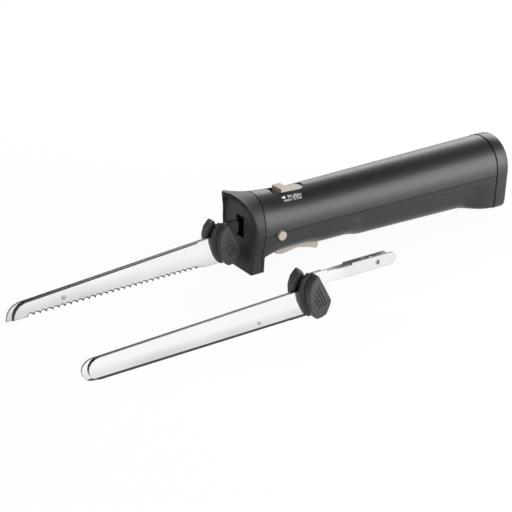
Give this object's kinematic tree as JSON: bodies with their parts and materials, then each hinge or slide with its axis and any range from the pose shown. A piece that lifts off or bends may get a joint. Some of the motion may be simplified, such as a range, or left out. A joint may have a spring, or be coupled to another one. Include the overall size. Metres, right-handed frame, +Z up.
{
  "type": "cordless electric carving knife",
  "caption": "Cordless carving knife: a long round-topped handle with a hooded guard, trigger, slider and release buttons drives a paired toothed blade; a plain blade pair stands beside it.",
  "frame": {"origin": "centre of the flat foot face under the guard", "axes": "+X along the knife from the blade tips to the end cap, +Y to the far side of the handle from the spare blades, +Z up"},
  "size_m": [0.4941, 0.144, 0.0684],
  "materials": {
    "shell_black": "satin moulded black plastic",
    "trim_dark": "fine matte dark plastic",
    "grip_grey": "matte dark grey plastic",
    "control_beige": "matte beige plastic",
    "blade_steel": "mirror-polished stainless steel",
    "rivet_steel": "headed steel rivet",
    "inner_steel": "plain steel",
    "cast_zinc": "die-cast light metal",
    "nylon_white": "natural nylon",
    "copper_winding": "wound copper wire",
    "bronze_bush": "sintered bronze",
    "cell_sleeve": "shrink sleeve",
    "inner_dark": "moulded dark plastic",
    "print_white": "pad-printed white ink",
    "board_green": "coated circuit board"
  },
  "bodies": {
    "handle": {"guard": "trim_dark", "upper_housing": "shell_black", "lower_housing": "shell_black", "rear_cap": "shell_black", "housing_screws": "inner_steel", "slider_spring": "inner_steel", "trigger_pin": "inner_steel", "trigger_spring": "inner_steel", "button_spring_left": "inner_steel", "button_spring_right": "inner_steel", "gear_frame": "cast_zinc", "worm_bush": "bronze_bush", "motor_can": "inner_steel", "wheel_axle": "inner_steel", "micro_switch": "inner_dark", "battery_cells": "cell_sleeve", "battery_holder": "inner_dark", "charge_board": "board_green", "charging_socket": "inner_dark"},
    "safety_slider": {"safety_slider": "control_beige"},
    "trigger": {"trigger": "control_beige"},
    "switch_plunger": {"switch_plunger": "control_beige"},
    "release_button_left": {"release_button_left": "control_beige"},
    "release_button_right": {"release_button_right": "control_beige"},
    "motor_rotor": {"motor_rotor": "copper_winding", "worm": "nylon_white"},
    "worm_wheel": {"worm_wheel": "nylon_white"},
    "carrier_left": {"carrier_left": "nylon_white", "latch_spring_left": "inner_steel"},
    "carrier_right": {"carrier_right": "nylon_white", "latch_spring_right": "inner_steel"},
    "blade_left": {"blade_left": "blade_steel", "blade_grip_left": "grip_grey", "blade_rivet": "rivet_steel"},
    "blade_right": {"blade_right": "blade_steel", "blade_grip_right": "grip_grey"},
    "spare_left": {"spare_blade_left": "blade_steel", "spare_grip_left": "grip_grey", "spare_rivet": "rivet_steel"},
    "spare_right": {"spare_blade_right": "blade_steel", "spare_grip_right": "grip_grey"}
  },
  "joints": [
    {"name": "slider_slide", "type": "slide", "parent": "handle", "child": "safety_slider", "axis": [-1, 0, 0], "range_m": [0, 0.0075], "stiffness_N_per_m": 80},
    {"name": "trigger_hinge", "type": "hinge", "parent": "handle", "child": "trigger", "pos_m": [0.033, 0, 0.014], "axis": [0, -1, 0], "range_deg": [0, 5], "stiffness_Nm_per_rad": 0.4, "springref_deg": -8.59, "deforming": ["trigger_spring"]},
    {"name": "plunger_slide", "type": "slide", "parent": "handle", "child": "switch_plunger", "axis": [0, 0, 1], "range_m": [0, 0.0022]},
    {"name": "button_left_slide", "type": "slide", "parent": "handle", "child": "release_button_left", "axis": [0, 1, 0], "range_m": [0, 0.003], "stiffness_N_per_m": 400},
    {"name": "button_right_slide", "type": "slide", "parent": "handle", "child": "release_button_right", "axis": [0, -1, 0], "range_m": [0, 0.003], "stiffness_N_per_m": 400},
    {"name": "motor_spin", "type": "hinge", "parent": "handle", "child": "motor_rotor", "pos_m": [0.09, 0, 0.0235], "axis": [1, 0, 0], "range_deg": [-1440, 240]},
    {"name": "wheel_spin", "type": "hinge", "parent": "handle", "child": "worm_wheel", "pos_m": [0.09, 0, 0.0395], "axis": [0, 1, 0], "range_deg": [-90.05, 15.05]},
    {"name": "carrier_left_slide", "type": "slide", "parent": "handle", "child": "carrier_left", "axis": [1, 0, 0], "range_m": [-0.0051, 0.00087]},
    {"name": "carrier_right_slide", "type": "slide", "parent": "handle", "child": "carrier_right", "axis": [1, 0, 0], "range_m": [-0.00087, 0.0051]},
    {"name": "blade_left_out", "type": "slide", "parent": "carrier_left", "child": "blade_left", "axis": [-1, 0, 0], "range_m": [0, 0.075]},
    {"name": "blade_right_out", "type": "slide", "parent": "carrier_right", "child": "blade_right", "axis": [-1, 0, 0], "range_m": [0, 0.075]},
    {"name": "spare_lift", "type": "slide", "parent": "handle", "child": "spare_left", "axis": [0, 0, 1], "range_m": [0, 0.1]},
    {"name": "spare_slide", "type": "slide", "parent": "spare_left", "child": "spare_right", "axis": [0.9999, -0.0105, 0], "range_m": [-0.0025, 0.0115]}
  ],
  "couplings": [
    {"joint": "wheel_spin", "follows": "motor_spin", "ratio": 0.0625},
    {"joint": "carrier_left_slide", "follows": "motor_spin", "m_per_rad": 0.0002018},
    {"joint": "carrier_right_slide", "follows": "motor_spin", "m_per_rad": -0.0002018},
    {"joint": "plunger_slide", "follows": "trigger_hinge", "m_per_rad": 0.023},
    {"joint": "blade_right_out", "follows": "blade_left_out", "ratio": 1}
  ]
}
